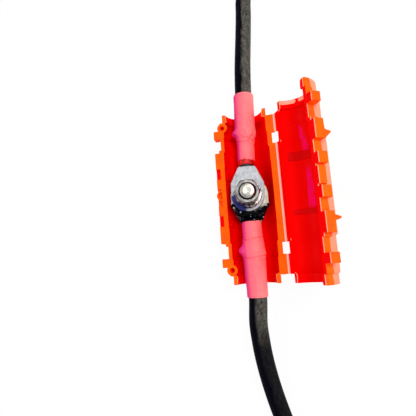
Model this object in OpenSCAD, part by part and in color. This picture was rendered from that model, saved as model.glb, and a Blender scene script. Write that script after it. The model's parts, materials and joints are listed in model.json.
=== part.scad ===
// Clamshell power connector: two ring lugs bolted face to face inside a hinged
// insulating cover. Y runs along the cables, X towards the hinge, Z up.
// Z = 0 is the surface that the cover's lower half lies on.

/* [Cover] */
// Length of the cover along the cables
cover_len = 114; // [106:1:140]
// Length of each narrow neck at the cover's ends
neck_len = 5.4; // [4:0.2:8]
// Inner radius of the necks
neck_r = 12; // [11.9:0.1:12.4]
// Inner radius of the shoulders between the necks and the main chamber
shoulder_r = 14.6; // [14.2:0.1:15.2]
// Inner radius of the main chamber
chamber_r = 15.5; // [15.4:0.1:18]
// Length of the main chamber
chamber_len = 61; // [56:1:68]
// Wall of the main chamber
cover_wall = 2.4; // [2:0.1:3]
// Wall of the shoulders
shoulder_wall = 2.2; // [1.6:0.1:2.3]
// Wall of the necks
neck_wall = 2.8; // [2:0.1:3]
// How far the hinge line lies outside the chamber's wall
hinge_reach = 2.2; // [1.5:0.1:4]
// Thickness of the web that carries the hinge
web_t = 1.6; // [1:0.1:2.4]
// Gap that each half leaves to the closing plane
rim_gap = 0.15; // [0.1:0.05:0.4]
// Angle of the open lid above flat
lid_lift = 58; // [0:1:90]

/* [Cover details] */
// Length of the windows in the web, along the hinge
window_len = 7.2; // [4:0.2:12]
// Width of each window, both halves together
window_w = 5.2; // [3:0.2:6]
// Distance of the windows from the middle of the cover
window_y = 35.8; // [30:0.2:42]
// How far the catch blocks stand out from the chamber's axis
pad_reach = 21.4; // [20.6:0.1:23]
// Height of the catch blocks
pad_h = 6; // [4:0.2:8]
// Height of the band along each rim
band_h = 5; // [3:0.1:5.5]
// How far the band along each rim stands out of the wall
band_out = 0.5; // [0.3:0.1:1]
// Outer radius of the seal-wire ears
ear_r = 3.4; // [3:0.1:4]
// Radius of the seal-wire holes
ear_hole_r = 1.7; // [0.8:0.1:1.8]
// Distance of the ears from the middle of the cover
ear_y = 47.8; // [46.8:0.1:48.4]
// Depth of the seal-wire holes
ear_hole_depth = 4; // [3:0.2:5]
// Width of the catch loop along the cover
loop_w = 6.8; // [6:0.2:8]
// Thickness of the catch loop's bar
loop_bar = 0.9; // [0.7:0.1:1.2]
// How far the catch loop reaches from the chamber's axis
loop_reach = 22; // [21.5:0.1:23]
// How far the prongs stand back from the lid's long catch blocks
prong_len = 3.8; // [2:0.2:5]
// Height of the cross ribs inside the chamber
rib_h = 0.8; // [0.5:0.1:1]

/* [Bolt] */
// Diameter of the bolt
bolt_d = 9.5; // [8:0.1:9.8]
// Width across the flats of the nut and the bolt's head
hex_af = 14.3; // [13:0.1:15]
// Height of the bolt's head
head_h = 6.2; // [5:0.1:6.6]
// Height of the nut
nut_h = 8.2; // [6:0.1:8.4]
// Thickness of the flat washer
washer_t = 1.6; // [1:0.1:1.8]
// Outer diameter of the flat washer
washer_d = 18; // [17:0.2:19]
// Thickness of the spring washer
spring_t = 2.3; // [1.6:0.1:2.4]
// Outer diameter of the spring washer
spring_d = 17; // [16:0.2:17.6]
// How far the bolt's end stands out of the nut
bolt_proud = 1.8; // [0.6:0.1:1.9]
// Radial clearance of the washers and the nut on the bolt
bolt_clear = 0.1; // [0.05:0.05:0.3]

/* [Lugs] */
// Thickness of the lugs' palms
palm_t = 2.8; // [2:0.1:3]
// Outer radius of the upper lug's ring
upper_ring_r = 10.8; // [10.5:0.1:11.6]
// Outer radius of the lower lug's ring
lower_ring_r = 12.2; // [11.6:0.1:12.4]
// Radius of the upper lug's and the end lugs' bolt hole
upper_hole_r = 5.2; // [5:0.05:6]
// Radius of the lower lug's bolt hole
lower_hole_r = 6; // [5.8:0.05:6.4]
// Sideways play that the lower lug has taken up
lower_shift = 0.9; // [0:0.05:1]
// Outer radius of the crimp barrels
barrel_r = 5.2; // [4.9:0.05:5.3]
// Wall of the crimp barrels
barrel_wall = 1.3; // [1:0.05:1.5]
// Radius of the flare at each barrel's mouth
flare_r = 6.6; // [5.8:0.1:6.8]
// Distance from the bolt to the end of the upper and the end palms
upper_neck = 19; // [18:0.5:20]
// Distance from the bolt to the end of the lower palm
lower_neck = 17.5; // [16.5:0.1:17.6]
// Distance from the bolt to the mouth of the upper and the end barrels
upper_mouth = 44; // [42:0.5:46]
// Distance from the bolt to the mouth of the lower barrel
lower_mouth = 36.5; // [35:0.5:38]
// Turn of the upper lug on the bolt
upper_turn = -2; // [-3:0.5:0]
// Turn of the lower lug on the bolt
lower_turn = 0; // [-1:0.5:1]
// Lean of the bolted stack towards the hinge
stack_lean = 8; // [6:0.5:9]
// Sideways place of the bolted stack in the chamber
stack_x = -1.3; // [-1.4:0.05:-1]

/* [Sleeves and cables] */
// Wall of the shrunk sleeve on the jacket
sleeve_wall = 0.9; // [0.7:0.05:1]
// Wall of the shrunk sleeve on the barrel
sleeve_thin = 0.45; // [0.3:0.05:0.6]
// Outer radius of the sleeve's bulge over the barrel's mouth
bulge_r = 8.1; // [8:0.05:8.2]
// Distance from the bolt to the near end of the upper sleeve
upper_sleeve_start = 25; // [23:0.5:28]
// Distance from the bolt to the far end of the upper sleeve
upper_sleeve_end = 71.5; // [66:0.5:72]
// Distance from the bolt to the near end of the lower sleeve
lower_sleeve_start = 18; // [17.8:0.1:22]
// Distance from the bolt to the far end of the lower sleeve
lower_sleeve_end = 65.5; // [60:0.5:66]
// Distance from the bolt to the far end of the end sleeves
end_sleeve_end = 65; // [58:0.5:66]
// Outer radius of the cable's jacket
cable_r = 5.7; // [5.5:0.05:5.75]
// Radius of the bared conductor
core_r = 3.8; // [3.4:0.05:3.85]

/* [Hidden] */

$fn = 96;
eps = 0.01;
fit = 0.05;              // radial clearance of a sleeve or conductor in its seat
seat_gap = 0.3;          // end gap between a cable's jacket and the barrel's mouth
core_gap = 0.2;          // end gap between a conductor and its bore's bottom

// Cover
half_len = cover_len / 2;
shoulder_end = half_len - neck_len;
chamber_end = chamber_len / 2;
step = 1;                // length of the slopes between the zones
throat_r = shoulder_r - 0.4;
throat_y = 41;
belly_y = 20.5;
belly_r = chamber_r - 0.2;
chamber_out = chamber_r + cover_wall;
shoulder_out = shoulder_r + shoulder_wall;
neck_out = neck_r + neck_wall;
mouth_bevel = 0.6;       // how far each neck flares at its mouth
mouth_len = 3;           // length of that flare
neck_pad = [6, 12];      // pads that fill out the lid's necks: from the axis, and height
neck_pad_r = neck_out + 1.1;
outer_bevel = 0.6;       // bevel on the outside of the shoulders
cut = 1;                 // how far a cutting shape runs past what it cuts
rim_z = chamber_out;     // height of the closing plane
hinge_x = chamber_out + hinge_reach;
web_y = shoulder_end + 0.1;
catch_blocks = [[9.1, 6.4], [25, 11.2], [43.2, 5.6]];   // distance from the middle, length
ledges = [[-20, -12], [-6.4, 6.4], [12, 20]];           // low ledges between them, from and to
ledge_drop = 3.6;
band_past = 2;           // how far the chamber's rim band runs past the chamber
ledge_out = 0.5;          // the ledges stand out past the catch blocks by this
loop_y = 1.2;
loop_h = 2.2;
seat_reach = 19.9;       // flat catch seat in the middle of the lid's rim
seat_w = 10;
lip_out = 0.1;           // the rim band past the chamber stands out this far
seat_h = 4.9;
prong_w = 2;
prong_y = 23;            // distance from the middle
prong_root = 1.6;        // half its width where it starts
prong_gusset = 3.6;      // the upper prong's wider foot
prong_end = 0.7;         // half its width before the point
prong_point = 0.6;       // length of the point
ribs = [[14.5, 5.4], [-18, 3.2]];                        // place along the cover, length
rib_drop = 3;            // the ribs stay this far below the rim
rib_inset = 2;           // and this far from the chamber's lowest line
rib_root = 0.5;          // how far they run into the wall
ear_x = shoulder_out - 1.6;
ear_h = ear_hole_depth + 1;

// Bolted stack, along the bolt
palm_top = rim_z + 0.1;
palm_low = palm_top - 2 * palm_t;
head_low = palm_low - head_h;
spring_low = palm_top + washer_t;
nut_low = spring_low + spring_t;
bolt_top = nut_low + nut_h + bolt_proud;
bolt_r = bolt_d / 2;
bolt_bevel = 0.9;
hex_r = hex_af / 2 / cos(30);
face_r = hex_af / 2 - 0.3;   // radius of the flat on a hexagon's turned face
hex_bevel = 0.8;         // height of that turned bevel
head_bevel = 0.1;        // and of the one under the bolt's head
sink_h = 0.7;            // depth of the countersink in the nut
upper_barrel_z = palm_top - barrel_r;
lower_barrel_z = palm_low + barrel_r;
neck_slope = 5;          // length from a palm's end to the barrel's bore
flare_len = 4;
split_w = 1.4;           // gap in the spring washer
neck_w = 12;             // width of a palm where it meets the barrel
lower_neck_w = 14;
neck_bevel = 0.9;
taper_from = 0.72;       // where a palm starts to narrow, as a part of its ring's radius
lower_taper_from = 0.5;
slope_in = 4;            // length of the barrel's slope that lies on the palm
flare_wall = 0.6;        // wall of the flared mouth's lip
sleeve_lead = 3;         // length over which the sleeve swells to its bulge
sleeve_flat = 2;         // from the flare's start to the bulge's full radius
sleeve_tail = [1.5, 3, 6];   // past the mouth: bulge's end, its soft edge, jacket's seat
bulge_soft = 0.7;        // depth of the bulge's soft edges

// Cords. The stack's own axis gives the first two points of each route.
upper_route = [
    [1.0, 84, 12.0], [1.6, 95, 11.0], [2.4, 106, 9.6], [3.2, 117, 8.0], [4.0, 128, 6.7],
    [4.8, 139, 5.9], [5.6, 150, 5.7], [9.1, 167, 5.7], [17.2, 182, 5.7], [29.2, 194.5, 5.7],
    [44.2, 203, 5.7], [61, 207.2, 5.7], [78, 206.6, 5.7], [94.5, 201.3, 5.7],
    [108.7, 191.7, 5.8], [119.6, 178.5, 6.2], [126.4, 162.8, 7.0], [129, 146, 7.8],
];
lower_route = [
    [-1.6, -80, 16.3], [-1.3, -91, 14.2], [-0.4, -102, 11.8], [1.2, -113, 9.4],
    [3.2, -123, 7.4], [5.8, -133, 6.1], [9.2, -143, 5.7], [16.8, -158, 5.7], [28, -170, 5.7],
    [42.4, -178.6, 5.7], [58.6, -183, 5.7], [75.2, -182.6, 5.7], [91.2, -177.8, 5.7],
    [105.2, -168.8, 5.8], [116, -156, 6.2], [123.2, -141, 7.0], [126, -123.5, 7.8],
];
upper_end_bolt = [129, 76, bulge_r];      // centre of the upper end lug's hole, at barrel height
lower_end_bolt = [126, -38, bulge_r];
cord_sides = 12;

// The part's origin lies under the middle of the cover's width.
prong_tip = [pad_reach, -pad_h - prong_len];
lid_edge = hinge_x + (hinge_x + prong_tip[0]) * cos(lid_lift) - prong_tip[1] * sin(lid_lift);
mid_x = (lid_edge - loop_reach) / 2;

red = [0.93, 0.16, 0.06];
coral = [0.97, 0.42, 0.42];
steel = [0.62, 0.62, 0.6];
tin = [0.66, 0.67, 0.7];
copper = [0.72, 0.42, 0.26];
jacket = [0.09, 0.09, 0.1];

// Moves cover places to the part's own origin.
module placed() {
    translate([-mid_x, 0, 0]) children();
}

// Turns a shape drawn around Z so that it lies along Y.
module along_y() {
    rotate([-90, 0, 0]) children();
}

// ---- Cover ---------------------------------------------------------------

// Outline of the cover's outside, radius against length.
module outer_profile() {
    polygon([
        [0, -half_len], [neck_out, -half_len],
        [neck_out, -shoulder_end], [shoulder_out - outer_bevel, -shoulder_end],
        [shoulder_out, -shoulder_end + outer_bevel], [shoulder_out, -chamber_end - step],
        [chamber_out, -chamber_end], [chamber_out, chamber_end],
        [shoulder_out, chamber_end + step], [shoulder_out, shoulder_end - outer_bevel],
        [shoulder_out - outer_bevel, shoulder_end], [neck_out, shoulder_end],
        [neck_out, half_len], [0, half_len],
    ]);
}

// Outline of the cover's hollow, with its steps and bevelled mouths.
module inner_profile() {
    polygon([
        [0, -half_len - cut], [neck_r + mouth_bevel, -half_len - cut],
        [neck_r + mouth_bevel, -half_len], [neck_r, -half_len + mouth_len],
        [neck_r, -shoulder_end], [throat_r, -shoulder_end + step],
        [throat_r, -throat_y], [shoulder_r, -throat_y],
        [shoulder_r, -chamber_end - step], [belly_r, -chamber_end],
        [belly_r, -belly_y], [chamber_r, -belly_y],
        [chamber_r, belly_y], [belly_r, belly_y],
        [belly_r, chamber_end], [shoulder_r, chamber_end + step],
        [shoulder_r, throat_y], [throat_r, throat_y],
        [throat_r, shoulder_end - step], [neck_r, shoulder_end],
        [neck_r, half_len - mouth_len], [neck_r + mouth_bevel, half_len],
        [neck_r + mouth_bevel, half_len + cut], [0, half_len + cut],
    ]);
}

// A block of the free rim: from radius a to b, along the cover, down from the rim.
module rim_block(a, b, y, length, top, bottom) {
    translate([-b, y - length / 2, -bottom]) cube([b - a, length, bottom - top]);
}

// What the catch side of both halves carries.
module catch_side() {
    for (side = [-1, 1], block = catch_blocks)
        rim_block(shoulder_r, pad_reach, side * block[0], block[1], 0, pad_h);
    rim_block(chamber_r, chamber_out + band_out, 0, chamber_len + 2 * band_past, 0, band_h);
    rim_block(shoulder_r, shoulder_out + lip_out, 0, 2 * shoulder_end - 1, 0, band_h - 1);
}

// Web towards the hinge line, less this half of the two windows.
module hinge_web() {
    difference() {
        translate([shoulder_r, -web_y, -web_t])
            cube([hinge_x - rim_gap - shoulder_r, 2 * web_y, web_t]);
        for (side = [-1, 1])
            translate([hinge_x - window_w / 2, side * window_y - window_len / 2, -web_t - 1])
                cube([window_w, window_len, web_t + 2]);
    }
}

// Ears at the necks, with their blind holes for a seal wire.
module ears() {
    for (side = [-1, 1])
        translate([-ear_x, side * ear_y, -ear_h]) cylinder(h = ear_h - rim_gap, r = ear_r, $fn = 48);
}

module ear_holes() {
    for (side = [-1, 1])
        translate([-ear_x, side * ear_y, -rim_gap - ear_hole_depth])
            cylinder(h = ear_hole_depth + 1, r = ear_hole_r, $fn = 48);
}

// Low cross ribs that stop the lugs from sliding, on the catch side only.
module cross_ribs() {
    for (rib = ribs)
        translate([0, rib[0] - rib[1] / 2, 0])
            intersection() {
                along_y() ring(chamber_r + rib_root, chamber_r - rib_h, rib[1]);
                translate([-chamber_out, -cut, -chamber_out])
                    cube([chamber_out - rib_inset, rib[1] + 2 * cut, chamber_out - rib_drop]);
            }
}

// One half of the cover about the chamber's axis, with its catch side at -X.
module cover_half(with_ears) {
    difference() {
        union() {
            difference() {
                union() {
                    intersection() {
                        along_y() rotate_extrude() outer_profile();
                        translate([-chamber_out - 1, -half_len - 1, -chamber_out - 1])
                            cube([2 * chamber_out + 2, cover_len + 2, chamber_out + 1]);
                    }
                    catch_side();
                    hinge_web();
                    children();
                }
                along_y() rotate_extrude() inner_profile();
                translate([-pad_reach - 5, -half_len - 1, -rim_gap])
                    cube([2 * pad_reach + 10, cover_len + 2, 10]);
            }
            cross_ribs();
            if (with_ears) ears();
        }
        if (with_ears) ear_holes();
    }
}

// Thin loop that the lid's catch seat drops into.
module catch_loop() {
    inner = loop_w - 2 * loop_bar;
    root = chamber_out;
    reach = loop_reach - loop_w / 2;
    translate([0, loop_y, -rim_gap - loop_h]) linear_extrude(loop_h) difference() {
        union() {
            translate([-reach, 0]) circle(d = loop_w, $fn = 64);
            translate([-reach, -loop_w / 2]) square([reach - root + 0.4, loop_w]);
        }
        translate([-reach, 0]) circle(d = inner, $fn = 64);
        translate([-reach, -inner / 2]) square([reach - root - band_out, inner]);
    }
}

module cover_base() {
    color(red) placed() translate([0, 0, rim_z]) cover_half(true) {
        catch_loop();
        for (ledge = ledges)
            rim_block(chamber_r, pad_reach + ledge_out, (ledge[0] + ledge[1]) / 2,
                      ledge[1] - ledge[0], ledge_drop, pad_h);
    }
}

// Bevelled pads that fill the lid's necks out to its shoulders, on the catch side.
module neck_pads() {
    for (side = [-1, 1])
        translate([0, side * (half_len - neck_len / 2) + neck_len / 2, 0]) rotate([90, 0, 0])
            linear_extrude(neck_len) intersection() {
                circle(r = neck_pad_r);
                polygon([
                    [-neck_pad_r - cut, -neck_pad[1]], [-neck_pad[0], -neck_pad[1]],
                    [-neck_pad[0], 0], [-neck_out, 0],
                    [-neck_pad_r - cut, neck_out - neck_pad_r - cut],
                ]);
            }
}

// Pointed prong on the back of one of the lid's long catch blocks. Its foot reaches
// further towards the middle of the cover than away from it.
module prong(y, foot) {
    translate([-pad_reach, y, -pad_h]) rotate([0, 90, 0])
        linear_extrude(prong_w)
            polygon([
                [-cut, -foot], [0, -foot], [prong_len - prong_point, -prong_end],
                [prong_len, -prong_end / 2], [prong_len, prong_end / 2],
                [prong_len - prong_point, prong_end], [0, prong_root], [-cut, prong_root],
            ]);
}

module cover_lid() {
    color(red) placed() translate([hinge_x, 0, rim_z]) rotate([0, -lid_lift, 0])
        translate([hinge_x, 0, 0]) mirror([1, 0, 0]) cover_half(false) {
            rim_block(chamber_r, seat_reach, 0, seat_w, 0, seat_h);
            prong(prong_y, prong_gusset);
            prong(-prong_y, prong_root);
            neck_pads();
        }
}

// ---- Bolted stack --------------------------------------------------------

// Puts a shape drawn around the bolt's axis into the cover, leaning and off centre.
module in_stack() {
    placed() translate([stack_x, 0, rim_z]) rotate([0, stack_lean, 0])
        translate([0, 0, -rim_z]) children();
}

module ring(outer, inner, height) {
    difference() {
        cylinder(h = height, r = outer);
        translate([0, 0, -1]) cylinder(h = height + 2, r = inner);
    }
}

// A hexagon with its corners along Y and both faces bevelled by turning.
module hexagon(height, bevel_low, bevel_high) {
    intersection() {
        rotate([0, 0, 30]) cylinder(h = height, r = hex_r, $fn = 6);
        rotate_extrude() polygon([
            [0, 0], [face_r, 0],
            [hex_r + eps, bevel_low], [hex_r + eps, height - bevel_high],
            [face_r, height], [0, height],
        ]);
    }
}

module hex_bolt() {
    color(steel) in_stack() {
        translate([0, 0, head_low]) hexagon(head_h, hex_bevel, head_bevel);
        translate([0, 0, palm_low - eps]) rotate_extrude() polygon([
            [0, 0], [bolt_r, 0], [bolt_r, bolt_top - bolt_bevel - palm_low],
            [bolt_r - bolt_bevel, bolt_top - palm_low], [0, bolt_top - palm_low],
        ]);
    }
}

module flat_washer() {
    color(steel) in_stack() translate([0, 0, palm_top])
        ring(washer_d / 2, bolt_r + bolt_clear, washer_t);
}

module spring_washer() {
    color(steel) in_stack() translate([0, 0, spring_low]) difference() {
        ring(spring_d / 2, bolt_r + bolt_clear, spring_t);
        rotate([0, 0, 60]) translate([0, -split_w / 2, -1]) cube([spring_d, split_w, spring_t + 2]);
    }
}

module hex_nut() {
    color(steel) in_stack() translate([0, 0, nut_low]) difference() {
        hexagon(nut_h, hex_bevel, hex_bevel);
        translate([0, 0, -cut]) cylinder(h = nut_h + 2 * cut, r = bolt_r + bolt_clear);
        translate([0, 0, nut_h - sink_h])
            cylinder(h = sink_h + eps, r1 = bolt_r + bolt_clear, r2 = bolt_r + bolt_clear + sink_h);
    }
}

// ---- Lugs ----------------------------------------------------------------

// Flat outline of a palm: the ring and the straight taper to the neck.
module palm_outline(ring_r, neck, width, taper) {
    taper_start = ring_r * taper;
    circle(r = ring_r);
    polygon([
        [-ring_r, 0], [ring_r, 0], [ring_r, taper_start],
        [width / 2, neck - neck_bevel], [width / 2 - neck_bevel, neck],
        [neck_bevel - width / 2, neck], [-width / 2, neck - neck_bevel],
        [-ring_r, taper_start],
    ]);
}

// A ring lug along +Y: palm from low to low + palm_t, barrel about barrel_z.
module lug(ring_r, hole_r, low, barrel_z, neck, mouth, width = neck_w, taper = taper_from) {
    up = barrel_z > low + palm_t / 2 ? 1 : -1;
    top = low + palm_t;
    bore_start = neck + neck_slope;
    tube_len = mouth - bore_start;
    difference() {
        union() {
            translate([0, 0, low]) linear_extrude(palm_t) palm_outline(ring_r, neck, width, taper);
            // slope from the flat palm into the round barrel
            translate([0, neck - slope_in, barrel_z]) intersection() {
                along_y() cylinder(h = neck_slope + slope_in, r = barrel_r);
                translate([-barrel_r, 0, 0]) rotate([90, 0, 90])
                    linear_extrude(2 * barrel_r) polygon([
                        [0, up > 0 ? low - barrel_z : top - barrel_z],
                        [0, up > 0 ? top - barrel_z : low - barrel_z],
                        [neck_slope + slope_in - 1, up * barrel_r],
                        [neck_slope + slope_in, up * barrel_r],
                        [neck_slope + slope_in, -up * barrel_r],
                    ]);
            }
            translate([0, bore_start - 1, barrel_z]) along_y() rotate_extrude() polygon([
                [0, 0], [barrel_r, 0], [barrel_r, tube_len + 1 - flare_len],
                [flare_r, tube_len + 1], [0, tube_len + 1],
            ]);
        }
        translate([0, 0, low - 1]) cylinder(h = palm_t + 2, r = hole_r);
        translate([0, bore_start, barrel_z]) along_y() rotate_extrude() polygon([
            [0, 0], [barrel_r - barrel_wall, 0],
            [barrel_r - barrel_wall, tube_len - flare_len],
            [flare_r - flare_wall, tube_len + eps], [0, tube_len + eps],
        ]);
    }
}

// A shrunk sleeve along +Y over a barrel, its flared mouth and the jacket behind it.
module sleeve(start, mouth, end) {
    thin_r = barrel_r + fit + sleeve_thin;
    flare_in = flare_r + fit;
    jacket_in = cable_r + fit;
    difference() {
        rotate_extrude() polygon([
            [0, start], [thin_r, start], [thin_r, mouth - flare_len - sleeve_lead],
            [bulge_r - bulge_soft, mouth - flare_len], [bulge_r, mouth - flare_len + sleeve_flat],
            [bulge_r, mouth + sleeve_tail[0]], [bulge_r - bulge_soft, mouth + sleeve_tail[1]],
            [jacket_in + sleeve_wall, mouth + sleeve_tail[2]],
            [jacket_in + sleeve_wall, end], [0, end],
        ]);
        rotate_extrude() polygon([
            [0, start - 1], [barrel_r + fit, start - 1], [barrel_r + fit, mouth - flare_len - 1],
            [flare_in, mouth - 1], [flare_in, mouth + 0.6],
            [jacket_in, mouth + 2], [jacket_in, end + 1], [0, end + 1],
        ]);
    }
}

// The bared conductor along +Y, from the bore's end to the jacket.
module core(neck, mouth) {
    start = neck + neck_slope + core_gap;
    translate([0, 0, start]) cylinder(h = mouth + seat_gap - start, r = core_r);
}

// Frames of the four lugs: +Y of a lug's own frame points out of its barrel.
module at_upper_lug() {
    in_stack() rotate([0, 0, upper_turn]) children();
}

module at_lower_lug() {
    in_stack() translate([lower_shift, 0, 0]) rotate([0, 0, 180 + lower_turn]) children();
}

module at_upper_end() {
    placed() translate(upper_end_bolt) children();
}

module at_lower_end() {
    placed() translate(lower_end_bolt) rotate([0, 0, 180]) children();
}

module upper_lug() {
    color(tin) at_upper_lug()
        lug(upper_ring_r, upper_hole_r, palm_low + palm_t, upper_barrel_z, upper_neck, upper_mouth);
}

module lower_lug() {
    color(tin) at_lower_lug()
        lug(lower_ring_r, lower_hole_r, palm_low, lower_barrel_z, lower_neck, lower_mouth,
            lower_neck_w, lower_taper_from);
}

module upper_end_lug() {
    color(tin) at_upper_end() lug(upper_ring_r, upper_hole_r, -barrel_r, 0, upper_neck, upper_mouth);
}

module lower_end_lug() {
    color(tin) at_lower_end() lug(upper_ring_r, upper_hole_r, -barrel_r, 0, upper_neck, upper_mouth);
}

module upper_core() {
    color(copper) at_upper_lug() translate([0, 0, upper_barrel_z]) along_y() core(upper_neck, upper_mouth);
}

module lower_core() {
    color(copper) at_lower_lug() translate([0, 0, lower_barrel_z]) along_y() core(lower_neck, lower_mouth);
}

module upper_end_core() {
    color(copper) at_upper_end() along_y() core(upper_neck, upper_mouth);
}

module lower_end_core() {
    color(copper) at_lower_end() along_y() core(upper_neck, upper_mouth);
}

module upper_sleeve() {
    color(coral) at_upper_lug() translate([0, 0, upper_barrel_z]) along_y()
        sleeve(upper_sleeve_start, upper_mouth, upper_sleeve_end);
}

module lower_sleeve() {
    color(coral) at_lower_lug() translate([0, 0, lower_barrel_z]) along_y()
        sleeve(lower_sleeve_start, lower_mouth, lower_sleeve_end);
}

module upper_end_sleeve() {
    color(coral) at_upper_end() along_y() sleeve(upper_sleeve_start, upper_mouth, end_sleeve_end);
}

module lower_end_sleeve() {
    color(coral) at_lower_end() along_y() sleeve(upper_sleeve_start, upper_mouth, end_sleeve_end);
}

// ---- Cables --------------------------------------------------------------

function unit(v) = v / norm(v);

// A point of the leaning stack, given in the stack's own frame.
function stacked(p) = [
    stack_x + p[0] * cos(stack_lean) + (p[2] - rim_z) * sin(stack_lean),
    p[1],
    rim_z - p[0] * sin(stack_lean) + (p[2] - rim_z) * cos(stack_lean),
];

// A point on a near barrel's axis, at a distance from the bolt.
function on_upper(d) = stacked([-d * sin(upper_turn), d * cos(upper_turn), upper_barrel_z]);
function on_lower(d) = stacked([lower_shift + d * sin(lower_turn), -d * cos(lower_turn), lower_barrel_z]);

function heading(path, i) =
    unit(path[min(i + 1, len(path) - 1)] - path[max(i - 1, 0)]);

// One ring of the tube, square to the route and level across it.
function cord_ring(path, i) = let (
    forward = i == 1 ? heading(path, 0) : i == len(path) - 2 ? heading(path, len(path) - 1)
        : heading(path, i),
    across = unit(cross(forward, [0, 0, 1])),
    upward = cross(across, forward)
) [
    for (k = [0 : cord_sides - 1]) let (a = 360 * (k + 0.5) / cord_sides)
        path[i] + cable_r * (cos(a) * across + sin(a) * upward)
];

module cord(path) {
    rings = len(path);
    points = [for (i = [0 : rings - 1]) each cord_ring(path, i)];
    sides = [
        for (i = [0 : rings - 2], k = [0 : cord_sides - 1])
            let (n = (k + 1) % cord_sides, a = i * cord_sides, b = a + cord_sides)
                [a + k, b + k, b + n, a + n]
    ];
    first = [for (k = [0 : cord_sides - 1]) k];
    last = [for (k = [cord_sides - 1 : -1 : 0]) (rings - 1) * cord_sides + k];
    polyhedron(points = points, faces = concat(sides, [first, last]), convexity = 6);
}

module upper_cable() {
    color(jacket) placed() cord(concat(
        [on_upper(upper_mouth + seat_gap), on_upper(upper_sleeve_end + 1)], upper_route,
        [upper_end_bolt + [0, end_sleeve_end + 1, 0], upper_end_bolt + [0, upper_mouth + seat_gap, 0]]
    ));
}

module lower_cable() {
    color(jacket) placed() cord(concat(
        [on_lower(lower_mouth + seat_gap), on_lower(lower_sleeve_end + 1)], lower_route,
        [lower_end_bolt - [0, end_sleeve_end + 1, 0], lower_end_bolt - [0, upper_mouth + seat_gap, 0]]
    ));
}

cover_base();
cover_lid();
hex_bolt();
flat_washer();
spring_washer();
hex_nut();
upper_lug();
lower_lug();
upper_core();
lower_core();
upper_sleeve();
lower_sleeve();
upper_cable();
lower_cable();
upper_end_lug();
lower_end_lug();
upper_end_core();
lower_end_core();
upper_end_sleeve();
lower_end_sleeve();
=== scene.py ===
# %% [markdown]
# # A hinged power connector, open
# Two ring lugs are bolted face to face inside a red moulded cover that opens like a
# book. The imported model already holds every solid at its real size, so this script
# dresses it: it rounds edges, adds threads, wrinkles and seams, and gives every surface
# a finish made of nodes. Lengths are written in millimetres and turned to metres by one
# factor, because a maker reads millimetres more easily. Only the finishes, the floor and
# the lamps are written in metres, as Blender counts.

# %% Frame and sizes
import json
from math import copysign, cos, hypot, pi, radians, sin, sqrt, tau

import bmesh
import bpy
from mathutils import Matrix, Vector, noise


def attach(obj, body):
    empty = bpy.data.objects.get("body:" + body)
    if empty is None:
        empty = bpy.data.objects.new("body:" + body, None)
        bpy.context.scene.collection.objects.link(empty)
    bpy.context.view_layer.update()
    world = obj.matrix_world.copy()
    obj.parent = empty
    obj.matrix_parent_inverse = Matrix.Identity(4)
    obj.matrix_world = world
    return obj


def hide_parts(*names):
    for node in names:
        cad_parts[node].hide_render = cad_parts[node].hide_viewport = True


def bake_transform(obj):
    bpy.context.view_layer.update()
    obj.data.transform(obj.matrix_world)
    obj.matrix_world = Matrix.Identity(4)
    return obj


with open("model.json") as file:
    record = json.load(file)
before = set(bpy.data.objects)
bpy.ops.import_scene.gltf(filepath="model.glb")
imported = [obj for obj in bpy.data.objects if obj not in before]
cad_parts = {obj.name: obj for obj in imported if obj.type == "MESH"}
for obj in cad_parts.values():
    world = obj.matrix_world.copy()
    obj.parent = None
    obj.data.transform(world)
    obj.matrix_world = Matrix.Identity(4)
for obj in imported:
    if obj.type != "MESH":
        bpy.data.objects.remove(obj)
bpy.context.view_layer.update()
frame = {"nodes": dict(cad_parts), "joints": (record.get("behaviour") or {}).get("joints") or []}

MM = 0.001

# %% [markdown]
# The cover's chamber is a long half tube, and the hinge runs beside it. Each half has a
# place of its own, with the chamber's axis at 0 and the closing plane at height 0; the
# lid's is the base's seen in a mirror and lifted. The bolted stack leans a little
# towards the hinge. It is written with the bolt upright, and one matrix leans it.

# %% Places
def shift(x, y, z):
    return Matrix.Translation((x, y, z))


HINGE_TO_AXIS = 20.1                     # from the hinge line to either chamber's axis
LID_LIFT = radians(58)                   # the open lid's angle above flat
STACK_LEAN = radians(8)
PALM_T, BARREL_R = 2.8, 5.2
hinge_x, _, rim_z = (v / MM for v in frame["joints"][0]["pos_m"])
chamber_x = hinge_x - HINGE_TO_AXIS
base_place = shift(chamber_x, 0, rim_z)
lid_place = (shift(hinge_x, 0, rim_z) @ Matrix.Rotation(-LID_LIFT, 4, "Y")
             @ shift(HINGE_TO_AXIS, 0, 0) @ Matrix.Scale(-1, 4, (1, 0, 0)))
stack = (shift(chamber_x - 1.3, 0, rim_z) @ Matrix.Rotation(STACK_LEAN, 4, "Y")
         @ shift(0, 0, -rim_z))
PALM_TOP = rim_z + 0.1
PALM_LOW = PALM_TOP - 2 * PALM_T
UPPER_BARREL_Z, LOWER_BARREL_Z = PALM_TOP - BARREL_R, PALM_LOW + BARREL_R
half_turn = Matrix.Rotation(pi, 4, "Z")
upper_lug_place = stack @ Matrix.Rotation(radians(-2), 4, "Z")
lower_lug_place = stack @ shift(0.9, 0, 0) @ half_turn
upper_end_place = shift(chamber_x + 129, 76, 8.1)
lower_end_place = shift(chamber_x + 126, -38, 8.1) @ half_turn
print("hinge x, chamber x, rim z:", round(hinge_x, 2), round(chamber_x, 2), round(rim_z, 2))

# %% [markdown]
# The camera comes first. It stands above the cover and looks down at it with a slight
# tilt, so that the inside of both halves shows. The three turns below tip the object as
# the camera sees it: a roll that lifts the hinge side, a pitch and a small yaw. The
# camera's own place and axes are then those turns taken backwards.

# %% Camera
def in_scene(name, data):
    """A new object of the scene, which holds a mesh, a camera or a lamp."""
    made = bpy.data.objects.new(name, data)
    bpy.context.collection.objects.link(made)
    return made


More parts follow.
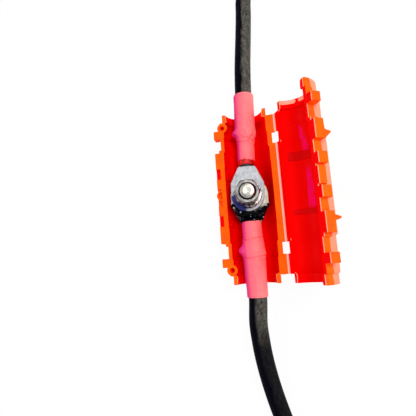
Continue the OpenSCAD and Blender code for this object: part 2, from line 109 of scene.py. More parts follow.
ROLL, PITCH, YAW = radians(15.468), radians(-9.118), radians(3.668)
SIDE, RISE, DISTANCE = 27.073, 8.84, 216.52
LENS, SENSOR = 28.93, 36
tip = (Matrix.Rotation(YAW, 3, "Z") @ Matrix.Rotation(PITCH, 3, "X")
       @ Matrix.Rotation(-ROLL, 3, "Y"))
camera_at = tip.transposed() @ Vector((-SIDE, -RISE, DISTANCE)) + Vector((chamber_x, 0, rim_z))
lens = bpy.data.cameras.new("camera")
lens.lens, lens.sensor_width = LENS, SENSOR
lens.clip_start, lens.clip_end = 0.01, 20
camera = in_scene("camera", lens)
camera.matrix_world = Matrix.Translation(camera_at * MM) @ tip.transposed().to_4x4()
bpy.context.scene.camera = camera
print("camera at, mm:", [round(v, 1) for v in camera_at])

# %% [markdown]
# A few helpers serve the whole script. One turns points in millimetres into a mesh
# object at the origin. One skins rings of points into a closed tube. One runs a smooth
# curve through a few chosen points, because a cable bends evenly between them. The last
# dresses a piece: it gives it its finishes and its body, and hides the solid that it replaces.

# %% Mesh helpers
def make_piece(name, points, faces, place=Matrix(), sharp=None):
    """A smooth mesh object at the origin from points in millimetres."""
    mesh = bpy.data.meshes.new(name)
    mesh.from_pydata([(place @ Vector(p)) * MM for p in points], [], faces)
    clean = bmesh.new()
    clean.from_mesh(mesh)
    bmesh.ops.recalc_face_normals(clean, faces=clean.faces)
    clean.to_mesh(mesh)
    clean.free()
    return smooth_object(name, mesh, sharp)


def smooth_object(name, mesh, sharp=None):
    """An object with smooth faces; edges above the sharp angle, in degrees, stay crisp."""
    mesh.polygons.foreach_set("use_smooth", [True] * len(mesh.polygons))
    if sharp:
        mesh.set_sharp_from_angle(angle=radians(sharp))
    return in_scene(name, mesh)


def skin(rings, closed=False):
    """Points and faces of a tube through rings of points; open ends are capped."""
    around = len(rings[0])
    points = [p for ring in rings for p in ring]
    faces = []
    for i in range(len(rings) if closed else len(rings) - 1):
        a, b = i * around, (i + 1) % len(rings) * around
        faces += [(a + k, b + k, b + (k + 1) % around, a + (k + 1) % around)
                  for k in range(around)]
    if not closed:
        last = len(points) - 1
        faces += [tuple(range(around)), tuple(range(last, last - around, -1))]
    return points, faces


def joined(*shapes):
    """Several pairs of points and faces as one."""
    points, faces = [], []
    for more_points, more_faces in shapes:
        faces += [tuple(len(points) + v for v in face) for face in more_faces]
        points += more_points
    return points, faces


def smooth_path(points, steps):
    """Even points on a smooth curve through the given ones."""
    points = [Vector(p) for p in points]
    ends = [2 * points[0] - points[1]] + points + [2 * points[-1] - points[-2]]
    path = []
    for i in range(1, len(ends) - 2):
        a, b, c, d = ends[i - 1:i + 3]
        for k in range(steps):
            t = k / steps
            path.append(0.5 * (2 * b + (c - a) * t + (2 * a - 5 * b + 4 * c - d) * t * t
                               + (3 * b - a - 3 * c + d) * t ** 3))
    return path + [points[-1]]


def mark_points(piece, name, values):
    """Stores one number for each point, for a finish to read."""
    mark = piece.data.attributes.new(name, "FLOAT", "POINT")
    mark.data.foreach_set("value", values)


def dress(piece, slot, *finishes, body="cover", node=None):
    """Gives a piece its finishes and its body, and hides the solid that it replaces; the slot is
    not used.
    """
    for finish in finishes:
        piece.data.materials.append(finish)
    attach(piece, body)
    if node:
        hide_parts(node)
    print(piece.name, len(piece.data.polygons), "faces")
    return piece


print("mesh helpers ready: millimetres in, metres out")

# %% [markdown]
# Finishes are written as sums. A small class wraps a node's output, and Python's own
# signs then add the Math nodes, so a mask reads as plain arithmetic. Colours go through
# one mixing method, because a Math node would turn them grey. Every node of the script
# comes from one function that takes its type, its settings and its sockets' values.

# %% Shader arithmetic
def feed(node, sockets):
    """Links or sets a node's sockets, which are called by name or number."""
    for key, value in sockets.items():
        value = getattr(value, "socket", value)
        if hasattr(value, "is_output"):
            node.id_data.links.new(value, node.inputs[key])
        else:
            node.inputs[key].default_value = value
    return node


def new_node(tree, kind, settings={}, sockets={}):
    node = tree.nodes.new(kind)
    for key, value in settings.items():
        setattr(node, key, value)
    return feed(node, sockets)


class Value:
    """One output socket of a material's tree."""

    def __init__(self, finish, socket):
        self.finish, self.socket = finish, socket

    def math(self, operation, *others):
        return self.finish.node("ShaderNodeMath", {"operation": operation},
                                dict(enumerate(others)))

    def __add__(self, other): return self.math("ADD", self, other)
    def __sub__(self, other): return self.math("SUBTRACT", self, other)
    def __rsub__(self, other): return self.math("SUBTRACT", other, self)
    def __mul__(self, other): return self.math("MULTIPLY", self, other)
    def __truediv__(self, other): return self.math("DIVIDE", self, other)

    def between(self, low, high):
        """0 at low, 1 at high, a soft step between."""
        return self.finish.node("ShaderNodeMapRange", {"interpolation_type": "SMOOTHSTEP"},
                                {"Value": self, "From Min": low, "From Max": high})


class Finish:
    """A material that ends in one Principled shader."""

    def __init__(self, name, **constants):
        self.material = bpy.data.materials.new(name)
        self.material.use_nodes = True
        self.tree = self.material.node_tree
        self.tree.nodes.clear()
        self.shader = new_node(self.tree, "ShaderNodeBsdfPrincipled")
        self.out = new_node(self.tree, "ShaderNodeOutputMaterial", {},
                            {0: self.shader.outputs[0]})
        self.paint(**constants)

    def node(self, kind, settings={}, sockets={}, out=0):
        return Value(self, new_node(self.tree, kind, settings, sockets).outputs[out])

    def paint(self, **sockets):
        """Feeds the shader's sockets, and gives the material back."""
        feed(self.shader, {name.replace("_", " "): value for name, value in sockets.items()})
        return self.material

    def place(self, axis=None):
        """Object coordinates in metres, or one of their three axes."""
        spot = self.node("ShaderNodeTexCoord", out=3)
        return spot if axis is None else self.node("ShaderNodeSeparateXYZ", {}, {0: spot}, axis)

    def stretched(self, x, y, z):
        return self.node("ShaderNodeMapping", {}, {"Vector": self.place(), "Scale": (x, y, z)})

    def grain(self, scale, detail=3, rough=0.5, spot=None):
        return self.node("ShaderNodeTexNoise", {}, {
            "Vector": spot or self.place(), "Scale": scale, "Detail": detail, "Roughness": rough})

    def mix(self, tone, *coats):
        """Lays colours over a first one, each by an amount."""
        for amount, coat in coats:              # 6 and 7 are the node's colour sockets
            tone = self.node("ShaderNodeMix", {"data_type": "RGBA"},
                             {0: amount, 6: tone, 7: coat}, 2)
        return tone

    def coat(self, colour, rough, height, strength, depth):
        """Paints colour, roughness and a relief, and gives the material back."""
        relief = self.node("ShaderNodeBump", {}, {
            "Height": height, "Strength": strength, "Distance": depth * MM})
        return self.paint(Base_Color=colour, Roughness=rough, Normal=relief)


def rgb(red, green, blue):
    """A colour as a screen shows it, 0 to 255, turned into light."""
    def light(v):
        v /= 255
        return v / 12.92 if v <= 0.04045 else ((v + 0.055) / 1.055) ** 2.4
    return (light(red), light(green), light(blue), 1)


print("a middling grey is", round(rgb(128, 128, 128)[0], 3), "in light")

# %% [markdown]
# The cover is moulded in one go from a tough, slightly waxy plastic, orange red outside
# and on its rims. Inside, the shade and the light bounced from wall to wall are painted
# as a deep red. The film at the fold and the thin lines along two of the rims are painted
# pale as highlights, each with a finish of its own. All share one recipe: clouds in the
# colour, a fine mould texture and a soft gloss. Two walls of the lid have more: one has a
# magenta sheen painted in two streaks, and on the other a painted highlight fades in to
# a pale red away from the hinge.

# %% Cover finishes
def moulded(name, colour, shade, gloss, shine=0.05, sheen_streak=None, blush=None, highlight_fade=None):
    plastic = Finish(name, IOR=1.45, Specular_IOR_Level=shine)
    clouds = plastic.grain(60, 4).between(0.35, 0.7)
    fine = plastic.grain(1400, 2)
    coats = [(clouds * 0.6, shade)]
    if blush:
        coats.append((plastic.grain(300, 4, 0.6).between(0.5, 0.68) * 0.55, blush))
    # A magenta sheen painted in two streaks.
    if sheen_streak:
        flow = plastic.grain(110, 4, 0.6, plastic.stretched(1.5, 0.6, 1.5)).between(0.44, 0.58)
        along = plastic.place(1)                # two stretches of the wall, with soft ends
        far = along.between(0.018, 0.024) * along.between(0.047, 0.041)
        near = along.between(-0.015, -0.009) * along.between(0.014, 0.008)
        coats.append((flow * (far + near) * 0.8, sheen_streak))
    # A painted highlight: pale red further from the hinge.
    if highlight_fade:
        out = ((plastic.place(0) - hinge_x * MM) * cos(LID_LIFT)
               + (plastic.place(2) - rim_z * MM) * sin(LID_LIFT))      # from the hinge
        coats.append(((out + (clouds - 0.5) * 0.004).between(0.020, 0.031), highlight_fade))
    return plastic.coat(plastic.mix(colour, *coats), fine * 0.12 + gloss, fine, 0.12, 0.05)


orange = dict(colour=rgb(255, 92, 0), shade=rgb(255, 78, 0), gloss=0.42, blush=rgb(255, 66, 26))
cover_outside = moulded("cover_outside", **orange)
# A darker red painted for the shade on the lid's bands.
cover_rib_shade = moulded("cover_rib_shade", rgb(220, 0, 2), rgb(200, 0, 6), 0.5, 0.04)
# Deep red painted for shade, with the painted magenta sheen.
cover_sheen_streak = moulded("cover_sheen_streak", rgb(246, 0, 0), rgb(240, 0, 4), 0.45, 0.04,
                       sheen_streak=rgb(255, 0, 104))
# Orange with a painted highlight that fades in away from the hinge.
cover_back_highlight = moulded("cover_back_highlight", **orange, highlight_fade=rgb(255, 136, 106))
# Deep red painted for the shade and the light bounced inside the cover.
cover_inside_shade = moulded("cover_inside_shade", rgb(248, 0, 0), rgb(240, 0, 0), 0.45, 0.02)
# Pale finishes painted as highlights on two rims and the lid's upper mouth.
rim_highlight = moulded("cover_rim_highlight", rgb(255, 160, 96), rgb(255, 140, 76), 0.45)
lid_highlight = moulded("cover_edge_highlight", rgb(255, 158, 132), rgb(255, 126, 100), 0.45)
# Pale pink painted as a highlight along the hinge's fold.
film_finish = moulded("hinge_film", rgb(255, 176, 160), rgb(255, 150, 136), 0.4)
print("cover finishes:", cover_outside.name, cover_inside_shade.name, film_finish.name)

# %% [markdown]
# Heat shrink tube is a soft, satin plastic. Its colour is a coral pink. Along one flank
# it is painted darker and magenta as shade, so the mesh stores how far each point is
# turned round the tube, and the shader reads that. Fine lines run round it where it has
# gathered.

# %% Heat shrink finish
def shrink(name, shaded_flank=0.85):
    tube = Finish(name, IOR=1.5, Specular_IOR_Level=0.16)
    turned = tube.node("ShaderNodeAttribute", {"attribute_name": "shaded_flank"}, out=2)
    clouds = tube.grain(150, 4).between(0.3, 0.75)
    blotch = tube.grain(420, 3).between(0.55, 0.75)
    lines = tube.grain(700, 3, 0.55, tube.stretched(0.25, 2.4, 0.25))
    streaks = tube.grain(260, 3, 0.5, tube.stretched(3, 0.35, 3))
    # Painted shade: darker, then magenta, towards one flank.
    side = (turned + (streaks - 0.5) * 0.16).between(0.74, 0.97)
    shade_ramp = (turned + (streaks - 0.5) * 0.3).between(0.25, 0.95)
    tone = tube.mix(rgb(255, 124, 124), (clouds * 0.7, rgb(255, 102, 110)),
                    (blotch * 0.35, rgb(255, 150, 142)), (shade_ramp * 0.8, rgb(248, 76, 108)),
                    (side * shaded_flank, rgb(206, 2, 116)))
    return tube.coat(tone, lines * 0.16 + 0.42, lines * 0.6 + blotch * 0.4, 0.3, 0.14)


coral, coral_plain = shrink("coral_shrink"), shrink("coral_shrink_end", 0.25)
glue = Finish("melted_liner", IOR=1.5, Specular_IOR_Level=0.3)
tone = glue.mix(rgb(214, 2, 4), (glue.grain(500, 3).between(0.4, 0.7), rgb(150, 0, 2)))
liner_red = glue.coat(tone, glue.grain(900) * 0.2 + 0.4, glue.grain(700, 3), 0.5, 0.25)

# %% [markdown]
# The cable's jacket is black rubber, near black with dark specks. On its side towards
# the lamps a grey brown sheen is painted, lighter in worn patches; the mesh marks that
# side. Further than about 98 mm out on the lower cable's side of the cover, the painted
# sheen is nearly taken off.

# %% Cable finish
rubber = Finish("cable_jacket", IOR=1.12, Specular_IOR_Level=0.3)
lit_side = rubber.node("ShaderNodeAttribute", {"attribute_name": "lit_side"}, out=2)
sheen_wobble = rubber.grain(90, 5, 0.6, rubber.stretched(3, 0.5, 3))
wear_and_sheen = rubber.grain(300, 5, 0.7, rubber.stretched(1.6, 0.7, 1.6)).between(0.4, 0.68)
specks = rubber.grain(820, 3).between(0.54, 0.66)
# Painted sheen, nearly taken off far out on the lower side.
sheen_fade = rubber.place(1).between(-0.098, -0.074) * 0.92 + 0.08
side = (lit_side + (sheen_wobble - 0.5) * 0.4).between(0.68, 0.88) * sheen_fade
tone = rubber.mix(rgb(0, 0, 8), (side * 0.9, rgb(68, 66, 61)),
                  (side * wear_and_sheen * 0.6, rgb(106, 103, 94)), (specks * 0.75, rgb(6, 6, 8)))
cable_black = rubber.coat(tone, wear_and_sheen * 0.2 + 0.5, wear_and_sheen * 0.5 + rubber.grain(1500, 3) * 0.5,
                          0.35, 0.12)
print("soft finishes:", coral.name, liner_red.name, cable_black.name)

# %% [markdown]
# The lugs are copper under a thin coat of tin, which is satin and slightly mottled.
# The bolt, nut and washers are zinc plated steel. A dark blue reflection is painted on one
# quarter of the upper ring and on the washers over it, and where the barrels start the
# tin is painted black, as shadow at the upper one and as dark reflection at the lower one.
# The blue is measured from the bolt, so one function gives each metal the same one.

# %% Metal finishes
BOLT_AT = stack @ Vector((0, 0, PALM_TOP))


def blue_reflection_zone(metal, reach=7.4):
    """1 where the dark blue reflection is painted: left of the bolt and towards the lower lug."""
    across = metal.place(0) / MM - BOLT_AT.x
    along = metal.place(1) / MM - BOLT_AT.y
    wobble = (metal.grain(300, 4) - 0.5) * 3
    out = across.math("SQRT", across * across + along * along)
    left = (0 - across + wobble).between(0.6, 2.4)
    low = (1.2 - along + wobble).between(0.4, 2.0)
    return left * low * out.between(reach, reach + 0.6)


def tinned(name, bright, dull, painted_dark_share=0.0, painted_dark=None):
    tin = Finish(name, Metallic=0.45)
    mottle, fleck = tin.grain(420, 5, 0.6), tin.grain(2300, 3, 0.7)
    coats = [(mottle.between(0.35, 0.7), dull), (fleck.between(0.52, 0.7) * 0.5, rgb(84, 88, 98)),
             (fleck.between(0.46, 0.34) * 0.35, rgb(196, 196, 194))]
    # Painted dark blue reflection.
    if painted_dark_share:
        coats.append((blue_reflection_zone(tin) * painted_dark_share, rgb(8, 4, 104)))
    # Painted black where the barrel starts: shadow on the upper lug, dark reflection on the lower.
    if painted_dark:
        coats.append((tin.place(1).between(painted_dark[0] * MM, painted_dark[1] * MM), rgb(3, 3, 4)))
    return tin.coat(tin.mix(bright, *coats), mottle * 0.15 + 0.42, fleck, 0.35, 0.08)


def zinc(name, bright, dull, rough, painted_dark_share=0.0):
    plate = Finish(name, Metallic=1.0)
    clouds, fleck = plate.grain(300, 4), plate.grain(1700, 3, 0.7)
    coats = [(clouds.between(0.35, 0.7), dull),
             (fleck.between(0.54, 0.72) * 0.45, rgb(70, 70, 76))]
    if painted_dark_share:
        # Painted shade in dark spots on the washers below the bolt.
        shade_spots = plate.grain(520, 3, 0.6).between(0.5, 0.58)
        low = (BOLT_AT.y * MM - plate.place(1)).between(0.003, 0.006)
        coats += [(shade_spots * low * 0.9, rgb(34, 8, 10)), (blue_reflection_zone(plate) * painted_dark_share, rgb(10, 4, 96))]
    return plate.coat(plate.mix(bright, *coats), clouds * 0.16 + rough, fleck, 0.25, 0.06)


# The upper lug carries the painted blue reflection and, at its barrel, a painted shadow.
tin_upper = tinned("tin_upper", rgb(156, 159, 162), rgb(126, 130, 138), 0.95, (18.8, 19.2))
# The lower lug's tin is painted a lighter ivory as a highlight, and black at its barrel as dark
# reflection.
tin_lower = tinned("tin_lower", rgb(186, 180, 160), rgb(146, 140, 126), 0.0, (-6.5, -9))
tin_end = tinned("tin_end", rgb(176, 177, 182), rgb(146, 147, 154))
steel = zinc("zinc_steel", rgb(128, 124, 122), rgb(84, 82, 84), 0.32)
washer_steel = zinc("zinc_washer", rgb(188, 180, 172), rgb(104, 98, 98), 0.16, 0.9)
bolt_steel = zinc("zinc_bolt", rgb(164, 161, 150), rgb(104, 104, 104), 0.24)
# Near black painted for the shade in the thread roots and the nut's bore.
painted_dark = Finish("thread_painted_shade", Metallic=0.3)
thread_shade = painted_dark.paint(
    Base_Color=painted_dark.mix(rgb(12, 10, 12), (painted_dark.grain(900, 3), rgb(44, 38, 38))),
    Roughness=painted_dark.grain(1500) * 0.2 + 0.55)
wire = Finish("bare_copper", Metallic=1.0)
copper = wire.paint(
    Base_Color=wire.mix(rgb(214, 140, 104), (wire.grain(500), rgb(190, 110, 76))),
    Roughness=wire.grain(900) * 0.15 + 0.3)
print("metals:", tin_upper.name, tin_lower.name, steel.name, copper.name)

# %% [markdown]
# Below the bolt a crinkled skin lies over the lower lug's neck. It is painted near black
# for the dark reflection of the neck's shiny metal, low in roughness, with painted cold
# glints in blue and white on its ridges; the crinkles themselves are in the mesh.

# %% Neck reflection finish
neck_dark = Finish("crinkled_neck_reflection", IOR=1.4, Specular_IOR_Level=0.04)
crackle_and_glint = neck_dark.grain(620, 4, 0.65)
painted_glint = neck_dark.grain(640, 2, 0.5).between(0.66, 0.7)
# Near black painted for dark reflection, with painted blue and white glints.
tone = neck_dark.mix(rgb(2, 2, 3), (crackle_and_glint.between(0.6, 0.68) * 0.7, rgb(20, 40, 120)),
                (painted_glint * 0.9, rgb(220, 224, 232)))
neck_reflection_black = neck_dark.coat(tone, crackle_and_glint * 0.2 + 0.2, crackle_and_glint, 0.7, 0.35)
print("tape finish:", neck_reflection_black.name)

# %% [markdown]
# The cables are real lengths of a stiff rubber lead. Each starts inside its sleeve,
# leaves the cover in line with the lug, comes down to the bench and swings round in one
# wide curve, so that its far end lies beside the cover. The route is that of the solid.

# %% Cable routes
def out_of(place, distance, height):
    return place @ Vector((0, distance, height))


def in_cover(*points):
    """Points measured from the chamber's axis; one without a height lies on the bench."""
    return [Vector((chamber_x + x, y, *(z or [ON_BENCH]))) for x, y, *z in points]


ON_BENCH = 5.7
upper_route = (
    [out_of(upper_lug_place, d, UPPER_BARREL_Z) for d in (44.3, 58, 72.5)]
    + in_cover((1, 84, 12), (1.6, 95, 11), (2.4, 106, 9.6), (3.2, 117, 8), (4, 128, 6.7),
               (4.8, 139, 5.9), (5.6, 150), (9.1, 167), (17.2, 182), (29.2, 194.5),
               (44.2, 203), (61, 207.2), (78, 206.6), (94.5, 201.3), (108.7, 191.7, 5.8),
               (119.6, 178.5, 6.2), (126.4, 162.8, 7), (129, 146, 7.8), (129, 142, 8.1),
               (129, 120.3, 8.1)))
lower_route = (
    [out_of(lower_lug_place, d, LOWER_BARREL_Z) for d in (36.8, 52, 66.5)]
    + in_cover((-1.6, -80, 16.3), (-1.3, -91, 14.2), (-0.4, -102, 11.8), (1.2, -113, 9.4),
               (3.2, -123, 7.4), (5.8, -133, 6.1), (9.2, -143), (16.8, -158), (28, -170),
               (42.4, -178.6), (58.6, -183), (75.2, -182.6), (91.2, -177.8),
               (105.2, -168.8, 5.8), (116, -156, 6.2), (123.2, -141, 7), (126, -123.5, 7.8),
               (126, -104, 8.1), (126, -82.3, 8.1)))
CABLE_R, CABLE_SIDES = 5.65, 40
# The turn round each cable where the painted sheen sits, towards the lamps.
LIT_SIDE_AT = {"upper": radians(35), "lower": radians(145)}
turns = [tau * k / CABLE_SIDES for k in range(CABLE_SIDES)]
cables = {}
for name, route in (("upper", upper_route), ("lower", lower_route)):
    path = smooth_path(route, 6)
    rings = []
    for i, spot in enumerate(path):
        forward = (path[min(i + 1, len(path) - 1)] - path[max(i - 1, 0)]).normalized()
        across = forward.cross(Vector((0, 0, 1))).normalized()
        upward = across.cross(forward)
        rings.append([spot + CABLE_R * (across * cos(turn) + upward * sin(turn))
                      for turn in turns])
    cable = make_piece(name + "_cable_jacket", *skin(rings))
    mark_points(cable, "lit_side", [0.5 + 0.5 * cos(turn - LIT_SIDE_AT[name])
                                 for _ in rings for turn in turns])
    dress(cable, "cable_jacket", cable_black, node=name + "_cable")
    length = sum((b - a).length for a, b in zip(path, path[1:]))
    cables[name] = {"piece": cable, "path": path, "length": length}
    print(name, "cable:", round(length), "mm along its middle,", len(path), "rings")

# %% [markdown]
# The cover's halves come from their solids, because those already have every catch,
# ear and rib in place. A copy is welded into one skin, its flat faces are joined, and
# its sharp edges are rounded as a mould rounds them. An edge that ends beside a very
# short one is left sharp, because a bevel there would shoot past its neighbour. A round
# wall may come with long slanting triangles that cut the corner inside its curve, so
# their edges are halved and pushed out to the wall's own radius until they follow it.

# %% Rounding a solid
ON_WALL, MAX_SAG = 0.03, 0.03            # millimetres
ROUNDING, WELD = 0.3 * MM, 0.004 * MM


def wall_reach(back, point):
    """Distance in millimetres from the axis of the place that back leads to."""
    spot = back @ (point / MM)
    return hypot(spot.x, spot.z)


def follow_curve(solid, place):
    """Splits slanting edges of round walls about a place's Y axis onto their radius."""
    back = place.inverted()

    def sag(edge):
        a, b = (v.co for v in edge.verts)
        return wall_reach(back, a) - wall_reach(back, (a + b) / 2)

    def lies_across(edge):
        return abs(edge.verts[0].co.y - edge.verts[1].co.y) < 0.01 * MM

    for face in solid.faces:
        reaches = [wall_reach(back, v.co) for v in face.verts]
        flat = any(lies_across(edge) and sag(edge) > MAX_SAG for edge in face.edges)
        face.material_index = int(min(reaches) > 10 and not flat
                                  and max(reaches) - min(reaches) < ON_WALL)
    for _ in range(6):
        bent = {}
        for edge in solid.edges:
            if all(f.material_index for f in edge.link_faces) and sag(edge) > MAX_SAG:
                bent.setdefault(round(wall_reach(back, edge.verts[0].co), 1), []).append(edge)
        if not bent:
            break
        for edges in bent.values():
            radius = wall_reach(back, edges[0].verts[0].co)
            split = bmesh.ops.subdivide_edges(solid, edges=edges, cuts=1)["geom_inner"]
            for v in split:
                if isinstance(v, bmesh.types.BMVert):
                    spot = back @ (v.co / MM)
                    grow = radius / hypot(spot.x, spot.z)
                    v.co = (place @ Vector((spot.x * grow, spot.y, spot.z * grow))) * MM
        bmesh.ops.triangulate(solid, faces=[f for f in solid.faces if f.material_index
                                            and len(f.verts) > 3], ngon_method="BEAUTY")


def rounded_copy(node, place=None):
    """A welded copy of a solid with rounded edges; a place means a half of the cover."""
    solid = bmesh.new()
    solid.from_mesh(frame["nodes"][node].data)
    bmesh.ops.remove_doubles(solid, verts=solid.verts, dist=WELD)
    bmesh.ops.dissolve_limit(solid, angle_limit=radians(0.6), verts=solid.verts,
                             edges=solid.edges)
    if place:
        follow_curve(solid, place)

    def in_chamber(edge):
        """Says whether an edge belongs to the chamber's own steps and ribs."""
        spot = place.inverted() @ ((edge.verts[0].co + edge.verts[1].co) / 2 / MM)
        return hypot(spot.x, spot.z) < 16.1 and spot.z < -0.4

    has_room = {v: all(e.calc_length() > 2.3 * ROUNDING for e in v.link_edges)
                for v in solid.verts}
    edges = [e for e in solid.edges
             if len(e.link_faces) == 2 and e.calc_face_angle() > radians(28)
             and all(has_room[v] for v in e.verts) and not (place and in_chamber(e))]
    bmesh.ops.bevel(solid, geom=edges, offset=ROUNDING, segments=2, profile=0.5,
                    affect="EDGES", clamp_overlap=False, offset_type="OFFSET")
    bmesh.ops.remove_doubles(solid, verts=solid.verts, dist=WELD)
    bmesh.ops.recalc_face_normals(solid, faces=solid.faces)
    mesh = bpy.data.meshes.new(node + "_shell")
    solid.to_mesh(mesh)
    solid.free()
    return smooth_object(node + "_shell", mesh, 16)


# %% [markdown]
# Each half is then sorted face by face in its own place. Walls that look into the
# chamber take the deep red that is painted for shade and bounced light. So do the lid's
# closing rim and the pockets between the base's catch blocks, as painted shade. The slim
# rounded faces along two rims take a pale painted highlight, and so does the flare of the
# lid's upper mouth. A lengthwise strip of the lid's chamber takes the painted streaks of
# sheen, and its outer wall the painted highlight that fades in.

# %% Cover halves
OUTSIDE, SHADE_RED, HIGHLIGHT, SHEEN_STREAK, BACK_HIGHLIGHT = 0, 1, 2, 3, 4


def sort_faces(piece, place, lid):
    """Gives each face its finish, by the first rule that holds for it."""
    back = place.inverted()
    for face in piece.data.polygons:
        spot = back @ (face.center / MM)
        ahead = (back @ ((face.center + face.normal * MM) / MM) - spot).normalized()
        reach = hypot(spot.x, spot.z)
        inward = -(ahead.x * spot.x + ahead.z * spot.z) / max(reach, 0.01)
        x, y, z = spot
        pocket = 12.3 < abs(y) < 19.4 or -5.9 < y < -1
        ledge_top = -4.2 < z < -3 and ahead.z > 0.9 and x > -21.6
        pocket_side = abs(ahead.y) > 0.7 and -3.8 < z < -0.5
        towards = ahead.x < -0.25 if lid else ahead.x * x < 0 and abs(ahead.x) > 0.25
        on_rib = (11.6 < y < 17.4 or -19.8 < y < -16.2) and z < -2.5 and reach < 15.6
        wall = inward > 0.25 and (reach < 15.7 or reach < 16.5 and z < -0.4)
        step_side = reach < 15.7 and abs(ahead.y) > 0.7 and z < -3 and abs(y) < 50
        # Deep red is painted shade and bounced light, pale is a painted highlight, the streaks are
        # a painted sheen, and the back is a painted highlight that fades in.
        rules = (
            (not lid and x < -17 and pocket and (ledge_top or pocket_side), SHADE_RED),
            (0.25 < ahead.z < 0.97 and z > -0.6 and towards, HIGHLIGHT),
            (lid and ahead.z > 0.9 and z > -0.5 or on_rib, SHADE_RED),
            (lid and inward > 0.5 and reach < 15.8 and 6.2 < x < 9.6 and z < -9, SHEEN_STREAK),
            (lid and inward > 0.5 and y > 53.8, HIGHLIGHT),
            (lid and inward < -0.5 and 15.6 < reach < 18.7 and z < -5, BACK_HIGHLIGHT),
            (wall or step_side, SHADE_RED))
        face.material_index = next((finish for holds, finish in rules if holds), OUTSIDE)


for node, body, place, pale in (("cover_base", "cover", base_place, rim_highlight),
                                ("cover_lid", "lid", lid_place, lid_highlight)):
    half = rounded_copy(node, place)
    sort_faces(half, place, body == "lid")
    dress(half, "cover_red", cover_outside, cover_inside_shade, pale, cover_sheen_streak, cover_back_highlight,
          body=body, node=node)

# %% [markdown]
# Two low bands cross the lid's wall beside the hinge and keep the sleeves from sliding.
# They are slim closed arcs with sloping ends, set a hair into the wall, and their red is
# painted darker for shade.

# %% Lid bands
BAND_STEPS, BAND_R, BAND_SUNK, BAND_H = 24, 15.3, 0.25, 0.5
for label, low, high in (("far", 17.6, 23.2), ("near", -16.4, -13.2)):
    arcs = []
    for i in range(BAND_STEPS + 1):
        turn = radians(-76 + 54 * i / BAND_STEPS)
        thick = BAND_H * min(1, i / 3, (BAND_STEPS - i) / 3) + 0.02
        sunk, edge, top = BAND_R + BAND_SUNK, BAND_R - thick * 0.6, BAND_R - thick
        arcs.append([Vector((-r * sin(turn), y, -r * cos(turn))) for r, y in (
            (sunk, low), (sunk, high), (edge, high), (top, high - 0.4), (top, low + 0.4),
            (edge, low))])
    band = make_piece("lid_band_" + label, *skin(arcs), place=lid_place, sharp=25)
    dress(band, "cover_red", cover_rib_shade, body="lid")

# %% [markdown]
# Base and lid are one moulding. What joins them is a film left thin on purpose, which
# bends each time the cover opens; it is painted pale pink as a highlight along the fold.
# It runs along the hinge line in three lengths, because two windows are cut out of it.
# The film is shaped for the open lid: its one side follows the base, its other side the lid.

# %% Hinge film
FILM_HALF, FILM_UP, FILM_DOWN = 0.8, 0.06, 0.4
hinge_line = Vector((hinge_x, 0, rim_z))
nowhere, left_way, left_up = Vector((0, 0, 0)), Vector((-1, 0, 0)), Vector((0, 0, 1))
right_way = Vector((cos(LID_LIFT), 0, sin(LID_LIFT)))
right_up = Vector((-sin(LID_LIFT), 0, cos(LID_LIFT)))
middle_up = (left_up + right_up).normalized()
film_rows = (                            # over its top from base to lid, and back below
    (left_way, left_up, FILM_UP, (1, 0.6, 0.25)), (nowhere, middle_up, FILM_UP, (1,)),
    (right_way, right_up, FILM_UP, (0.25, 0.6, 1)), (right_way, right_up, -FILM_DOWN, (1, 0.6)),
    (nowhere, middle_up, -FILM_DOWN, (1,)), (left_way, left_up, -FILM_DOWN, (0.6, 1)))
lengths = []
for low, high in ((-51.7, -39.5), (-32.1, 32.1), (39.5, 51.7)):
    count = max(4, round((high - low) / 2))
    starts = [hinge_line + Vector((0, low + (high - low) * i / count, 0))
              for i in range(count + 1)]
    lengths.append(skin([[start + way * FILM_HALF * k + up * height
                          for way, up, height, shares in film_rows for k in shares]
                         for start in starts]))
film = make_piece("hinge_film_strip", *joined(*lengths), sharp=40)
film.data.materials.append(film_finish)
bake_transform(film)
print("film:", len(film.data.polygons), "faces in three lengths")

# %% [markdown]
# The lugs are pressed from tube: a flat palm at one end, a round barrel at the other.
# Rounded copies of their solids do well, because pressing leaves plain flat faces.

# %% Lugs
shells = {}
for node, finish in (("upper_lug", tin_upper), ("lower_lug", tin_lower),
                     ("upper_end_lug", tin_end), ("lower_end_lug", tin_end)):
    shells[node] = dress(rounded_copy(node), "tinned_copper", finish, node=node)

# %% [markdown]
# The nut and the bolt's head are hexagons whose faces were turned on a lathe, which
# cuts the corners to a cone and leaves the arcs that every nut shows. Each ring of
# points takes whichever is smaller, the hexagon or the cone, so the arcs come by
# themselves.

# %% Hexagons
HEX_FLAT, HEAD_H, NUT_H, WASHER_T, SPRING_T = 14.3 / 2, 6.2, 8.2, 1.6, 2.3
BOLT_PROUD, BORE_R, TURNED_SIDES = 1.8, 4.85, 96
nut_low = PALM_TOP + WASHER_T + SPRING_T
bolt_top = nut_low + NUT_H + BOLT_PROUD
unlean = stack.inverted()


def turned_ring(radii, z):
    """Points about the bolt's axis, one for each radius given."""
    turns = [tau * k / len(radii) + pi / 6 for k in range(len(radii))]
    return [Vector((r * sin(turn), r * cos(turn), z)) for r, turn in zip(radii, turns)]


def circle(radius, z, sides=TURNED_SIDES):
    return turned_ring([radius] * sides, z)


